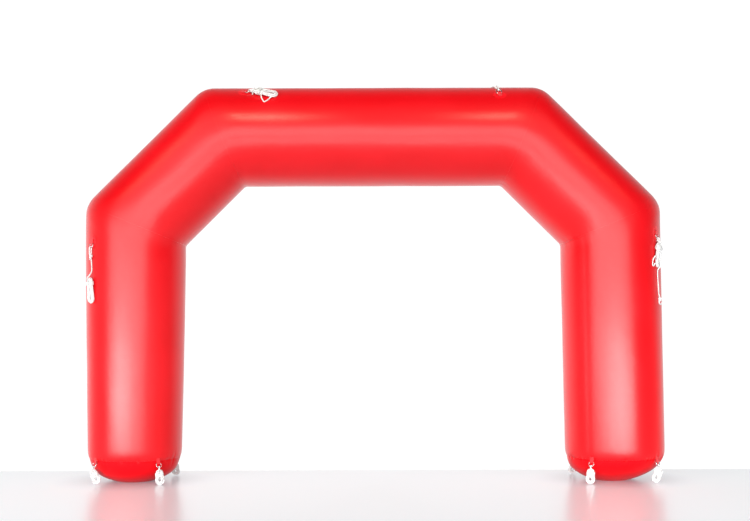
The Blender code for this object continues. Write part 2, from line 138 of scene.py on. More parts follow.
# How a weld draws the skin in. The groove is along the weld, and puckers run away from it.
Seam = namedtuple("Seam", "groove groove_width puckers depth width reach inner_share")
MITRE = Seam(0.0001, 0.012, 46, 0.0018, 0.017, 0.17, 1.0)
BASE_SEAM = Seam(0.0012, 0.010, 58, 0.0110, 0.010, 0.085, 0.0)
WELD_GROOVE = 0.0020
WELD_GROOVE_WIDTH = 0.022
WELD_BAND = 0.028  # width of the lengthwise lap weld
WELD_BEARINGS = {"left": -230, "right": -130}
UPPER_WELD_BEARING = 150
SWELL = 0.0011  # slow unevenness of the blown-up skin

PATCH_SIDES = 72
STITCH_PITCH = 0.0042
STITCH_HALF_SIZE = (0.0015, 0.0005, 0.0004)
KNOT_SIZE = 0.0040
KNOT_STEPS = 72


# ---- camera
def add_camera():
    """Eye-level camera in front of the arch, tilted a little up."""
    camera = bpy.data.objects.new("camera", bpy.data.cameras.new("camera"))
    bpy.context.scene.collection.objects.link(camera)
    camera.data.sensor_width = 36
    camera.data.lens = 56.88
    camera.location = (0.009, -10.34, 1.34)
    camera.rotation_euler = (radians(90 + 3.08), radians(0.18), 0)
    bpy.context.scene.camera = camera


# ---- shader arithmetic
class Value:
    """A shader output that takes part in arithmetic."""

    def __init__(self, tree, socket):
        self.tree = tree
        self.socket = socket

    def maths(self, operation, *values):
        node = self.tree.nodes.new("ShaderNodeMath")
        node.operation = operation
        for socket, value in zip(node.inputs, values):
            feed(self.tree, socket, value)
        return Value(self.tree, node.outputs[0])

    def __add__(self, other):
        return self.maths("ADD", self, other)

    def __sub__(self, other):
        return self.maths("SUBTRACT", self, other)

    def __rsub__(self, other):
        return self.maths("SUBTRACT", other, self)

    def __mul__(self, other):
        return self.maths("MULTIPLY", self, other)

    def __pow__(self, other):
        return self.maths("POWER", self, other)

    def __abs__(self):
        return self.maths("ABSOLUTE", self)

    __radd__ = __add__
    __rmul__ = __mul__

    def sin(self):
        return self.maths("SINE", self)


def feed(tree, socket, value):
    if isinstance(value, Value):
        tree.links.new(value.socket, socket)
    else:
        socket.default_value = value


class Finish:
    """Builds one node tree: a material's or the world's."""

    def __init__(self, tree):
        self.tree = tree

    def node(self, kind, settings=None, output=0, **inputs):
        """Adds a node and returns one of its outputs, or all of them where output is None."""
        node = self.tree.nodes.new(kind)
        for key, value in (settings or {}).items():
            setattr(node, key, value)
        for key, value in inputs.items():
            feed(self.tree, node.inputs[key.replace("_", " ")], value)
        if output is None:
            return [Value(self.tree, socket) for socket in node.outputs]
        return Value(self.tree, node.outputs[output])

    def coordinates(self, kind):
        return self.node("ShaderNodeTexCoord", output=kind)

    def ramp(self, value, start, end, low=0.0, high=1.0):
        """Eases from low to high as the value goes from start to end."""
        return self.node("ShaderNodeMapRange", {"interpolation_type": "SMOOTHSTEP"}, Value=value,
                         From_Min=start, From_Max=end, To_Min=low, To_Max=high)

    def axes(self, vector):
        return self.node("ShaderNodeSeparateXYZ", output=None, Vector=vector)

    def noise(self, scale, detail, vector=None):
        """Noise on the piece's own coordinates, or on a vector of its UV map."""
        return self.node("ShaderNodeTexNoise", Vector=vector or self.coordinates("Object"),
                         Scale=scale, Detail=detail)

    def streaks(self, x, y, detail):
        """Noise that is drawn out by the scales already in x and y."""
        return self.noise(1.0, detail, self.node("ShaderNodeCombineXYZ", X=x, Y=y))

    def blend(self, share, low, high):
        """Mixes two colours."""
        mixed = self.node("ShaderNodeMix", {"data_type": "RGBA"}, output=2, Factor=share)
        for socket, colour in zip(mixed.socket.node.inputs[6:8], (low, high)):
            feed(self.tree, socket, colour if isinstance(colour, Value) else (*colour, 1.0))
        return mixed


def new_finish(name, colour, roughness, **constants):
    """A material with its Principled shader; constants are set on the shader's own sockets."""
    material = bpy.data.materials.new(name)
    material.use_nodes = True
    finish = Finish(material.node_tree)
    finish.material = material
    finish.shader = material.node_tree.nodes["Principled BSDF"]
    drive(finish, Base_Color=(*colour, 1.0), Roughness=roughness, **constants)
    return finish


def drive(finish, **inputs):
    """Sets or links the shader's sockets."""
    for key, value in inputs.items():
        feed(finish.tree, finish.shader.inputs[key.replace("_", " ")], value)


def bump(finish, height):
    """Raises the surface by a height in metres."""
    drive(finish, Normal=finish.node("ShaderNodeBump", Height=height, Strength=1.0, Distance=1.0))


# ---- finishes
SKIN_RED = (0.64, 0.0008, 0.0048)
SKIN_DEEP = (0.625, 0.0006, 0.0042)
SKIN_PALE = (0.655, 0.0010, 0.0056)
SKIN_WEAVE = (0.0016, 0.000012)  # pitch and height
WEBBING_WEAVE = (0.0022, 0.00016)
LAP_RIB_PITCH = 0.0026
BRAID_PITCH = 0.011
BRAID_STRANDS = 4


def weave_height(across, along, pitch, height):
    """A plain weave: threads crossing over and under each other."""
    turns = 2 * pi / pitch
    return (across * turns).sin() * (along * turns).sin() * height


def skin_finish(name, ior):
    """Red coated fabric: satin, a little uneven, with lap welds along its seams."""
    finish = new_finish(name, SKIN_RED, 0.30, IOR=ior)
    around, along, _ = finish.axes(finish.coordinates("UV"))
    height = finish.axes(finish.coordinates("Object"))[2]
    rim = finish.node("ShaderNodeAttribute", {"attribute_name": "rim"}, output="Fac")

    cloud = finish.noise(2.3, 3.0)
    patchy = finish.noise(14.0, 3.0)
    # Darker and rougher in patches towards the floor: partly real soiling, partly a painted
    # contact shade darkening the base colour low on the dome.
    soiling_and_painted_shade = finish.ramp(height, 0.16, 0.0) * finish.ramp(patchy, 0.45, 0.75)
    tone = finish.blend(finish.ramp(cloud, 0.35, 0.65), SKIN_DEEP, SKIN_PALE)
    drive(finish, Base_Color=finish.blend(soiling_and_painted_shade * 0.10, tone, (0.36, 0.02, 0.02)))

    lap = finish.ramp(around, WELD_BAND, WELD_BAND - 0.0012)
    ribs = ((around + along) * (2 * pi / LAP_RIB_PITCH)).sin() * lap
    seam_lap = finish.ramp(rim, 0.0120, 0.0108)
    drive(finish, Roughness=0.285 + finish.ramp(cloud, 0.3, 0.7) * 0.03 + patchy * 0.03
          - lap * 0.04 + soiling_and_painted_shade * 0.08)

    streaks = finish.streaks(around * 34, along * 1.7, 3.0)
    near_mitre = finish.ramp(rim, 0.65, 0.0)
    waves = finish.noise(5.0, 2.0) * 0.0010 + finish.noise(38.0, 3.0) * 0.00010
    bump(finish, waves + streaks * near_mitre * 0.00045 + lap * 0.0007 + ribs * 0.00003
         + seam_lap * 0.00003 + weave_height(around, along, *SKIN_WEAVE))
    return finish.material


def patch_finish():
    """The same coated fabric, a little brighter and glossier."""
    finish = new_finish("patch_skin", SKIN_RED, 0.27, IOR=1.46)
    cloud = finish.noise(60.0, 3.0)
    drive(finish, Roughness=0.24 + cloud * 0.09,
          Base_Color=finish.blend(cloud, (0.74, 0.003, 0.009), (0.80, 0.006, 0.014)))
    bump(finish, cloud * 0.00012 + finish.noise(420.0, 2.0) * 0.00002)
    return finish.material


def webbing_finish():
    """Red woven webbing: ribs across it and a herringbone lean."""
    finish = new_finish("webbing", (0.55, 0.008, 0.012), 0.62, Sheen_Weight=0.25)
    across, along, _ = finish.axes(finish.coordinates("UV"))
    ribs = weave_height(across + along * 0.5, along, *WEBBING_WEAVE)
    worn = finish.streaks(across * 90, along * 90, 4.0)
    drive(finish, Roughness=0.55 + worn * 0.15,
          Base_Color=finish.blend(worn, (0.58, 0.005, 0.011), (0.78, 0.009, 0.018)))
    bump(finish, ribs + worn * 0.00006)
    return finish.material


def thread_finish():
    """Red sewing thread, its twist too fine to see singly."""
    finish = new_finish("thread", (0.60, 0.010, 0.014), 0.55)
    twist = finish.noise(1500.0, 2.0)
    drive(finish, Roughness=0.45 + twist * 0.2)
    bump(finish, twist * 0.00006)
    return finish.material


def steel_finish():
    """Bright drawn wire with faint marks."""
    finish = new_finish("steel", (0.62, 0.62, 0.64), 0.22, Metallic=1.0)
    marks = finish.noise(240.0, 4.0)
    drive(finish, Roughness=0.14 + marks * 0.22,
          Base_Color=finish.blend(marks, (0.50, 0.50, 0.52), (0.72, 0.72, 0.74)))
    bump(finish, marks * 0.00005)
    return finish.material


def rope_finish():
    """White braided rope; its UV map runs in metres along it and in turns round it."""
    finish = new_finish("rope", (0.86, 0.86, 0.84), 0.72, Sheen_Weight=0.3)
    along, round_it, _ = finish.axes(finish.coordinates("UV"))
    slant = along * (2 * pi / BRAID_PITCH)
    wind = round_it * (2 * pi * BRAID_STRANDS)
    braid = (slant + wind).sin() * (slant - wind).sin()
    dust = finish.noise(16.0, 4.0)
    fluff = finish.noise(900.0, 3.0)
    # Painted shade: the base colour darkens in the grooves between the braid's strands.
    groove = finish.ramp(abs(braid), 0.35, 0.0)
    white = finish.blend(finish.ramp(dust, 0.45, 0.75), (0.79, 0.79, 0.78), (0.71, 0.71, 0.70))
    drive(finish, Base_Color=finish.blend(groove * 0.55, white, (0.33, 0.33, 0.34)),
          Roughness=0.66 + fluff * 0.2)
    bump(finish, abs(braid) * 0.0006 + fluff * 0.00012)
    return finish.material


# ---- objects
def finished(name, bm, material, replaced, sharp=40):
    """Turns a bmesh into a piece that stands for the given solids."""
    bmesh.ops.recalc_face_normals(bm, faces=bm.faces)
    mesh = bpy.data.meshes.new(name)
    bm.to_mesh(mesh)
    bm.free()
    mesh.shade_smooth()
    mesh.set_sharp_from_angle(angle=radians(sharp))
    piece = bpy.data.objects.new(name, mesh)
    bpy.context.scene.collection.objects.link(piece)
    mesh.materials.append(material)
    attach(piece, "root")
    if replaced:
        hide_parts(*replaced)
    return piece


def lerp(a, b, t):
    return a + (b - a) * t


def ease(t):
    return t * t * (3 - 2 * t)


# ---- skin
# Directions are rows of x, y, z. Round a tube the angle is 0 on the outside of the arch.
ANGLES = 2 * np.pi * np.arange(SIDES) / SIDES
REAR = np.array((0.0, 1.0, 0.0))
UP = np.array((0.0, 0.0, 1.0))
BEND_TURNS = [HALF_BEND * step / BEND_RINGS for step in range(BEND_RINGS + 1)]


def offsets(outward):
    """Unit directions round a tube, one for each facet."""
    return np.outer(np.cos(ANGLES), outward) + np.outer(np.sin(ANGLES), REAR)


def bend_radii():
    """How widely each facet rounds into a mitre."""
    share = np.sqrt((1 + np.cos(ANGLES)) / 2)
    added = BEND_RADIUS_ADDED * np.sin(ANGLES) ** 2
    return lerp(BEND_RADIUS_INNER, BEND_RADIUS_OUTER, share) + added


def bend_start(corner, toward, outward):
    """Where each facet of a tube leaves its straight run to bend towards the mitre."""
    reach = TUBE_RADIUS * np.cos(ANGLES) * math.tan(HALF_BEND) - bend_radii() * math.tan(HALF_BEND)
    return corner + offsets(outward) * TUBE_RADIUS + np.outer(reach, toward)


def bend_points(corner, toward, outward, turn):
    """One ring in the bend, turned by an angle; a full half bend lies on the mitre."""
    bend = toward * sin(turn) - outward * (1 - cos(turn))
    points = bend_start(corner, toward, outward) + np.outer(bend_radii(), bend)
    if turn >= HALF_BEND:
        points -= (toward * cos(HALF_BEND) - outward * sin(HALF_BEND)) * GAP / 2
    return points


def straight_shares():
    """Even shares of a straight run, drawn together towards both ends."""
    steps = np.arange(1, STRAIGHT_RINGS) / STRAIGHT_RINGS
    return steps - 0.8 * np.sin(2 * np.pi * steps) / (2 * np.pi)


def puckers(seam, seed, distance):
    """How far a seam draws the skin in, for each ring and facet, by the distance from it."""
    random = np.random.default_rng(seed)
    drawn = seam.groove * np.exp(-(distance / seam.groove_width) ** 2)
    spacing = 2 * np.pi / seam.puckers
    for index in range(seam.puckers):
        centre = (index + random.uniform(-0.42, 0.42)) * spacing
        width = seam.width * random.uniform(0.6, 1.5) / TUBE_RADIUS
        reach = seam.reach * random.uniform(0.35, 1.2)
        depth = seam.depth * random.uniform(0.1, 1.0) ** 1.6
        inside = (1 - cos(centre)) / 2
        depth *= lerp(1.0, lerp(0.35, 1.3, inside), seam.inner_share)
        apart = (ANGLES - centre + np.pi) % (2 * np.pi) - np.pi
        across = np.exp(-(apart / width) ** 2)
        fade = np.clip(1 - distance / reach, 0, 1) ** 2
        drawn = drawn + depth * across * fade
    return drawn


def swell(seed, along):
    """Slow unevenness of a blown-up tube."""
    random = np.random.default_rng(seed)
    height = np.zeros_like(along)
    for lobes in (2, 3, 5, 7):
        for waves in (1.1, 2.3, 4.1):
            size = SWELL / (1 + 0.5 * lobes) / waves ** 0.5
            phase = random.uniform(0, 2 * np.pi, 2)
            height += (size * np.cos(lobes * ANGLES + phase[0])
                       * np.cos(waves * along * np.pi + phase[1]))
    return height


def weld_dip(bearing):
    """How a lengthwise lap weld flattens the tube on both sides of it."""
    apart = (ANGLES - bearing + np.pi) % (2 * np.pi) - np.pi
    return WELD_GROOVE * np.exp(-(apart * TUBE_RADIUS / WELD_GROOVE_WIDTH) ** 2)


def skin_piece(name, rings, low_edge, high_edge, weld, material):
    """Skins a stack of rings. The edges are distances from the seams at its two ends."""
    count = len(rings) - 1
    rings = rings + (ARCH_SHIFT, 0, 0)
    bm = bmesh.new()
    bmesh.ops.create_cone(bm, cap_ends=True, cap_tris=False, segments=SIDES, radius1=1.0,
                          radius2=1.0, depth=float(count))
    upright = [edge for edge in bm.edges if abs(edge.verts[0].co.z - edge.verts[1].co.z) > 0.5]
    bmesh.ops.subdivide_edges(bm, edges=upright, cuts=count - 1)

    rim = bm.verts.layers.float.new("rim")
    uv = bm.loops.layers.uv.new("skin")
    place = {}
    for vert in bm.verts:
        ring = round(vert.co.z + count / 2)
        facet = round(math.atan2(vert.co.y, vert.co.x) * SIDES / (2 * pi)) % SIDES
        place[vert] = (ring, facet)
    for face in bm.faces:
        facets = [place[loop.vert][1] for loop in face.loops]
        crossing = max(facets) - min(facets) > SIDES / 2 and len(facets) == 4
        for loop in face.loops:
            ring, facet = place[loop.vert]
            turned = facet + SIDES if crossing and facet < SIDES / 2 else facet
            around = (turned / SIDES - weld / (2 * pi)) * 2 * pi * TUBE_RADIUS
            if not crossing and around < -1e-6:
                around += 2 * pi * TUBE_RADIUS
            loop[uv].uv = (around, low_edge[ring][facet])
    for vert, (ring, facet) in place.items():
        vert.co = Vector(rings[ring][facet])
        vert[rim] = min(low_edge[ring][facet], high_edge[ring][facet])
    piece = finished(f"skin_{name}", bm, material, [name], sharp=60)


def run_lengths(rings):
    """Distance along each facet from the first ring and from the last."""
    steps = np.linalg.norm(np.diff(rings, axis=0), axis=2)
    from_low = np.vstack([np.zeros(SIDES), np.cumsum(steps, axis=0)])
    return from_low, from_low[-1] - from_low


def tube_skin(name, rings, low_seam, seeds, outward, weld, material):
    """Skins a tube whose top is mitred, with its puckers, lap weld and swell."""
    rings = np.array(rings)
    from_low, from_high = run_lengths(rings)
    drawn = puckers(low_seam, seeds[0], from_low) + puckers(MITRE, seeds[1], from_high)
    drawn += weld_dip(weld) - swell(seeds[0], from_low)
    rings -= drawn[:, :, None] * offsets(outward)
    skin_piece(name, rings, from_low, from_high, weld, material)


def mitred_tube(name, low, high, outward, seeds, material):
    """A straight section between two mitres; low and high are the corners of its axis."""
    along = (high - low) / np.linalg.norm(high - low)
    start, end = bend_start(low, -along, outward), bend_start(high, along, outward)
    rings = [bend_points(low, -along, outward, turn) for turn in BEND_TURNS[::-1]]
    rings += [lerp(start, end, share) for share in straight_shares()]
    rings += [bend_points(high, along, outward, turn) for turn in BEND_TURNS]
    tube_skin(name, rings, MITRE, seeds, outward, radians(UPPER_WELD_BEARING), material)


def leg_section(leg, height):
    """Radius and centre of a leg's tube at a height."""
    fall = np.clip((TAPER_TOP - height) / (TAPER_TOP - SEAM_HEIGHT), 0, 1)
    pinch = np.clip(1 - (height - SEAM_HEIGHT) / PINCH_REACH, 0, None)
    radius = lerp(TUBE_RADIUS, leg.base_radius, fall) - SEAM_PINCH * pinch ** 4
    return radius, leg.side * (LEG_AXIS + leg.lean * fall)


def level_ring(outward, centre, radius, height):
    """A ring round an upright axis; the radius, centre and height may differ by facet."""
    points = offsets(outward) * np.reshape(radius, (-1, 1))
    points[:, 0] += centre
    points[:, 2] += height
    return points


def leg_tube(leg, corner, outward, seeds, weld, material):
    """A leg from its base seam up to its mitre."""
    top = bend_start(corner, UP, outward)[:, 2]
    rings = []
    for share in np.concatenate([[0.0], straight_shares()]):
        height = lerp(SEAM_HEIGHT, top, share)
        radius, centre = leg_section(leg, height)
        rings.append(level_ring(outward, centre, radius, height))
    rings += [bend_points(corner, UP, outward, turn) for turn in BEND_TURNS]
    tube_skin(f"leg_{leg.name}", rings, BASE_SEAM, seeds, outward, weld, material)


def base_dome(leg, outward, seed, weld, material):
    """The base rounds in below its seam and is flattened where it stands."""
    seam_radius, centre = leg_section(leg, SEAM_HEIGHT)
    rings = []
    for step in range(DOME_RINGS + 1):
        down = 1 - ease(step / DOME_RINGS)
        height = (SEAM_HEIGHT - GAP) * (1 - down)
        kept = 1 - DOME_SLOPE * down - (1 - DOME_SLOPE) * down ** leg.fullness
        radius = lerp(FOOTPRINT_RADIUS, seam_radius, kept)
        rings.append(level_ring(outward, centre + leg.side * leg.toe * down, radius, height))
    rings = np.array(rings)
    from_low, from_seam = run_lengths(rings)
    drawn = puckers(BASE_SEAM, seed, from_seam)
    rings -= drawn[:, :, None] * offsets(outward)
    # The footprint is no seam, so its edge counts as a metre away from one.
    skin_piece(f"base_{leg.name}", rings, from_low + 1.0, from_seam, weld, material)


def make_skin(material, base_material):
    """Seeds match where two sections share a seam, so that the puckers cross it."""
    ends = []
    for leg, (base_seed, low_seed, high_seed) in zip(LEGS, ((11, 21, 31), (12, 22, 32))):
        weld = radians(WELD_BEARINGS[leg.name])
        low = np.array((leg.side * LEG_AXIS, 0.0, CORNER_HEIGHT))
        high = np.array((leg.side * BEAM_HALF_LENGTH, 0.0, BEAM_AXIS_HEIGHT))
        outward = np.array((leg.side, 0.0, 0.0))
        base_dome(leg, outward, base_seed, weld, base_material)
        leg_tube(leg, low, outward, (base_seed, low_seed), weld, material)
        mitred_tube(f"diagonal_{leg.name}", low, high, (outward + UP) / math.sqrt(2),
                    (low_seed, high_seed), material)
        ends.append(high)
    mitred_tube("beam", *ends, UP, (31, 32), material)


# ---- places on the skin
# A place turns (across, along, lift) into a point: along runs from the D-ring's bar towards
# its bow, and lift is the height above the skin.
def leg_place(leg, bearing, height):
    def place(across, along, lift):
        radius, centre = leg_section(leg, height - along)
        angle = radians(bearing) + across / radius
        reach = radius + lift
        x = centre + leg.side * reach * sin(angle) + ARCH_SHIFT
        return Vector((x, -reach * cos(angle), height - along))
    return place


def beam_place(x, elevation, heading):
    """On the beam, along runs up the slope, turned by the heading towards +X."""
    turn = radians(heading)

    def place(across, along, lift):
        slide = across * cos(turn) + along * sin(turn)
        climb = along * cos(turn) - across * sin(turn)
        angle = radians(elevation) + climb / TUBE_RADIUS
        reach = TUBE_RADIUS + lift
        return Vector((x + slide + ARCH_SHIFT, -reach * cos(angle),
                       BEAM_AXIS_HEIGHT + reach * sin(angle)))
    return place


def foot_place(leg, bearing):
    """At a foot the frame is flat and upright, its lift measured from the leg above the seam."""
    radius, centre = leg_section(leg, FOOT_BAR_HEIGHT + STRAP_LENGTH)
    angle = radians(bearing)
    radial = Vector((leg.side * sin(angle), -cos(angle), 0))
    tangent = Vector((leg.side * cos(angle), sin(angle), 0))
    origin = Vector((centre + ARCH_SHIFT, 0, FOOT_BAR_HEIGHT)) + radial * radius

    def place(across, along, lift):
        return origin + tangent * across + radial * lift - Vector((0, 0, along))
    return place


# ---- patches, straps and D-rings
def settle(bm, place):
    """Moves a flat shape, drawn in across, along and lift, to its place."""
    for vert in bm.verts:
        vert.co = place(*vert.co)


def make_patch(name, place, material):
    """A plain round patch, which thins from its middle to its rim."""
    bm = bmesh.new()
    bmesh.ops.create_circle(bm, cap_ends=True, segments=PATCH_SIDES, radius=PATCH_RADIUS)
    bmesh.ops.poke(bm, faces=bm.faces[:])
    bmesh.ops.solidify(bm, geom=bm.faces[:], thickness=PATCH_THICKNESS)
    low = min(vert.co.z for vert in bm.verts)
    for vert in bm.verts:
        at_rim = math.hypot(vert.co.x, vert.co.y) > PATCH_RADIUS / 2
        top = vert.co.z > low + PATCH_THICKNESS / 2
        vert.co.z = GAP
        if top:
            vert.co.z += PATCH_THICKNESS * (PATCH_RIM_SHARE if at_rim else 1)
        vert.co.y -= STRAP_LENGTH / 2
    settle(bm, place)
    finished(f"welded_patch_{name}", bm, material, [f"patch_{name}"], sharp=50)


def strap_path(base_lift):
    """The webbing's line: out along the skin, round the ring's bar and back over itself."""
    half = STRAP_THICKNESS / 2
    lower = base_lift + half
    upper = lower + STRAP_THICKNESS + GAP
    centre = lower + EYE_RADIUS
    path = [(-STRAP_LENGTH * share, lower) for share in (1.0, 0.8, 0.6, 0.4, 0.2)]
    for step in range(15):
        angle = radians(-90 + 14 * step)
        path.append((EYE_RADIUS * cos(angle), centre + EYE_RADIUS * sin(angle)))
    path += [(-0.16 * STRAP_LENGTH, lerp(upper, centre, 0.62)),
             (-0.22 * STRAP_LENGTH, lerp(upper, centre, 0.35)),
             (-0.32 * STRAP_LENGTH, lerp(upper, centre, 0.08))]
    return path + [(-STRAP_LENGTH * share, upper) for share in (0.45, 0.6, 0.8, 1.0)]


def make_strap(name, place, base_lift, material, thread):
    """Folded webbing with a thin body, rounded selvedges and a stitched box."""
    path = strap_path(base_lift)
    last = len(path) - 1
    bm = bmesh.new()
    bmesh.ops.create_grid(bm, x_segments=10, y_segments=last, size=0.5)
    uv = bm.loops.layers.uv.new("webbing")
    lengths = [0.0]
    for here, there in zip(path, path[1:]):
        lengths.append(lengths[-1] + math.dist(here, there))
    for face in bm.faces:
        for loop in face.loops:
            row = round((loop.vert.co.y + 0.5) * last)
            loop[uv].uv = (loop.vert.co.x * STRAP_WIDTH, lengths[row])
    for vert in bm.verts:
        along, lift = path[round((vert.co.y + 0.5) * last)]
        vert.co = place(vert.co.x * STRAP_WIDTH, along, lift)
    strap = finished(f"webbing_{name}", bm, material, [f"strap_{name}"], sharp=50)
    body = strap.modifiers.new("thickness", "SOLIDIFY")
    body.thickness = STRAP_THICKNESS * 0.9
    body.offset = 0.0
    edge = strap.modifiers.new("selvedge", "BEVEL")
    edge.width = STRAP_THICKNESS * 0.3
    edge.segments = 2
    edge.limit_method = "ANGLE"

    stitches = bmesh.new()
    upper = path[-1][1] + STRAP_THICKNESS / 2
    box = STRAP_WIDTH * 0.36
    low, high = -STRAP_LENGTH * 0.93, -STRAP_LENGTH * 0.50
    corners = [(-box, low), (box, low), (box, high), (-box, high), (-box, low)]
    runs = list(zip(corners, corners[1:]))
    runs += [((-box, low), (box, high)), ((box, low), (-box, high))]
    for start, end in runs:
        count = round(math.dist(start, end) / STITCH_PITCH)
        turn = math.atan2(end[1] - start[1], end[0] - start[0])
        for index in range(count):
            share = (index + 0.5) / count
            spot = Vector((lerp(start[0], end[0], share), lerp(start[1], end[1], share), upper))
            shape = (Matrix.Translation(spot) @ Matrix.Rotation(turn, 4, "Z")
                     @ Matrix.Diagonal((*STITCH_HALF_SIZE, 1)))
            bmesh.ops.create_icosphere(stitches, subdivisions=1, radius=1.0, matrix=shape)
    settle(stitches, place)
    finished(f"stitching_{name}", stitches, thread, [])


def ring_outline():
    """The D-ring's wire centre line: a bar, two rounded corners and a half-round bow."""
    corner, bow = [], []
    for step in range(7):
        angle = radians(15 * step)
        corner.append((RING_HALF_WIDTH - RING_CORNER + RING_CORNER * sin(angle),
                       RING_CORNER * (1 - cos(angle))))
    for step in range(21):
        angle = pi * step / 20
        bow.append((RING_HALF_WIDTH * cos(angle),
                    RING_DEPTH - RING_HALF_WIDTH * (1 - sin(angle))))
    return corner + bow + [(-across, reach) for across, reach in corner[::-1]]


def curve_mesh(name, points, radius, resolution, cyclic=False):
    """A round tube along a line, as a closed bmesh with its UV map."""
    curve = bpy.data.curves.new(name, "CURVE")
    curve.dimensions = "3D"
    curve.bevel_depth = radius
    curve.bevel_resolution = resolution
    curve.use_fill_caps = not cyclic
    spline = curve.splines.new("POLY")
    spline.points.add(len(points) - 1)
    for knot, point in zip(spline.points, points):
        knot.co = (*point, 1.0)
    spline.use_cyclic_u = cyclic
    holder = bpy.data.objects.new(name, curve)
    mesh = bpy.data.meshes.new_from_object(holder)
    bpy.data.objects.remove(holder)
    bpy.data.curves.remove(curve)
    bm = bmesh.new()
    bm.from_mesh(mesh)
    bpy.data.meshes.remove(mesh)
    bmesh.ops.remove_doubles(bm, verts=bm.verts, dist=1e-6)
    return bm


def make_ring(name, place, bar_lift, material):
    points = [place(across, reach * cos(RING_TILT), bar_lift + reach * sin(RING_TILT))
              for across, reach in ring_outline()]
    bm = curve_mesh(name, points, RING_WIRE, 5, cyclic=True)
    finished(f"d_ring_{name}", bm, material, [f"ring_{name}"])


# ---- ropes
def smooth_line(rows, step):
    """Samples of a smooth curve through a route's rows, about one step apart."""
    points = [Vector(row) for row in rows]
    padded = [points[0] * 2 - points[1]] + points + [points[-1] * 2 - points[-2]]
    samples = []
    for before, start, end, after in zip(padded, padded[1:], padded[2:], padded[3:]):
        count = max(1, round((end - start).length / step))
        for index in range(count):
            t = index / count
            samples.append(0.5 * (2 * start + (end - before) * t
                                  + (2 * before - 5 * start + 4 * end - after) * t * t
                                  + (3 * start - before - 3 * end + after) * t ** 3))
    return samples + [points[-1]]


def bow_loop(lift):
    """The rope's turn round the bow of a ring: up its front, over it and down its back."""
    return [(0.0, BOW_ALONG - LOOP_RADIUS * sin(angle), lift + BOW_RISE + LOOP_RADIUS * cos(angle))
            for angle in (radians(30 * step) for step in range(7))]


def hitch(stem, top, bottom, turns):
    """The tail's turns round the standing rope, from the bottom up to its front."""
    across, lift = stem
    leave = 90 - (turns % 1) * 360
    steps = round(turns * 12)
    points = []
    for step in range(steps + 1):
        share = step / steps
        angle = radians(lerp(leave, leave + turns * 360, share))
        points.append((across + ROPE * 1.02 * cos(angle), lerp(bottom, top, share),
                       lift + ROPE * 1.02 * sin(angle)))
    return points


def ring_hitch(lift, stem, top, bottom, turns):
    """A rope's tail, its hitch, the turn round the bow and the standing rope below it."""
    across, stem_lift = stem
    coil = hitch(stem, top, bottom, turns)
    side = math.copysign(1, coil[0][0] - across)
    tail = [(across + side * 0.044 * share, bottom + 0.012 * share,
             max(REST, stem_lift - 0.011 * share ** 0.5)) for share in (1.0, 0.7, 0.42)]
    front = [(across * 0.5, lerp(BOW_ALONG, top, 0.7), lift + BOW_RISE + LOOP_RADIUS * 1.05)]
    under_bow = lift + BOW_RISE - LOOP_RADIUS
    back = [(across * 0.6, lerp(BOW_ALONG, top, 0.6), lerp(under_bow, stem_lift, 0.4)),
            (across, top, stem_lift), (across, lerp(top, bottom, 0.5), stem_lift),
            (across, bottom, stem_lift)]
    return tail + coil + front + bow_loop(lift) + back


def hank_frame(hank, top, lean=0.0, turn=0.0, roll=0.0):
    """Maps a hank's side, down and face directions to across, along and lift."""
    tip = Matrix.Rotation(radians(lean), 3, "X")
    spin = Matrix.Rotation(radians(turn), 3, "Y") @ Matrix.Rotation(radians(roll), 3, "Z")
    pivot = Vector((0, hank.strand / 2, 0))
    eye = Vector((0, (hank.strand + HANK_TAPER * (hank.width - hank.strand)) / 2, 0))

    def frame_point(side, down, face):
        rolled = eye + spin @ (Vector((side, down, face)) - eye)
        return Vector(top) + pivot + tip @ (rolled - pivot)
    return frame_point


def hank_half(hank):
    """One side of the wound ring's centre line, from its top to its bottom."""
    wide = (hank.width - hank.strand) / 2
    narrow = HANK_TAPER * wide
    waist = hank.strand / 2 + HANK_SLIT
    top = hank.strand / 2 + narrow
    bottom = hank.length - hank.strand / 2 - wide
    wrapped = WRAP_START * hank.strand + WRAP_LENGTH / 2
    half = [(narrow * sin(radians(a)), top - narrow * cos(radians(a)))
            for a in (0, 22, 44, 64)]
    half += [(waist, wrapped), (lerp(waist, wide, 0.45), lerp(wrapped, bottom, 0.38)),
             (lerp(waist, wide, 0.85), lerp(wrapped, bottom, 0.72))]
    half += [(wide * cos(radians(a)), bottom + wide * sin(radians(a)))
             for a in (0, 22, 45, 68, 90)]
    return half


def hank_ring(hank):
    """The closed centre line as even samples, from the right side down and round."""
    half = hank_half(hank)
    left = [(-side, down) for side, down in half[-2:0:-1]]
    closed = half[6:] + left + half[:6]
    looped = [(*point, 0.0) for point in closed[-2:] + closed + closed[:3]]
    line = smooth_line(looped, 0.001)
    middle = len(line) // 2
    first = min(range(middle), key=lambda i: (line[i] - Vector(looped[2])).length)
    last = min(range(middle, len(line)), key=lambda i: (line[i] - Vector(looped[-3])).length)
    return line[first:last]


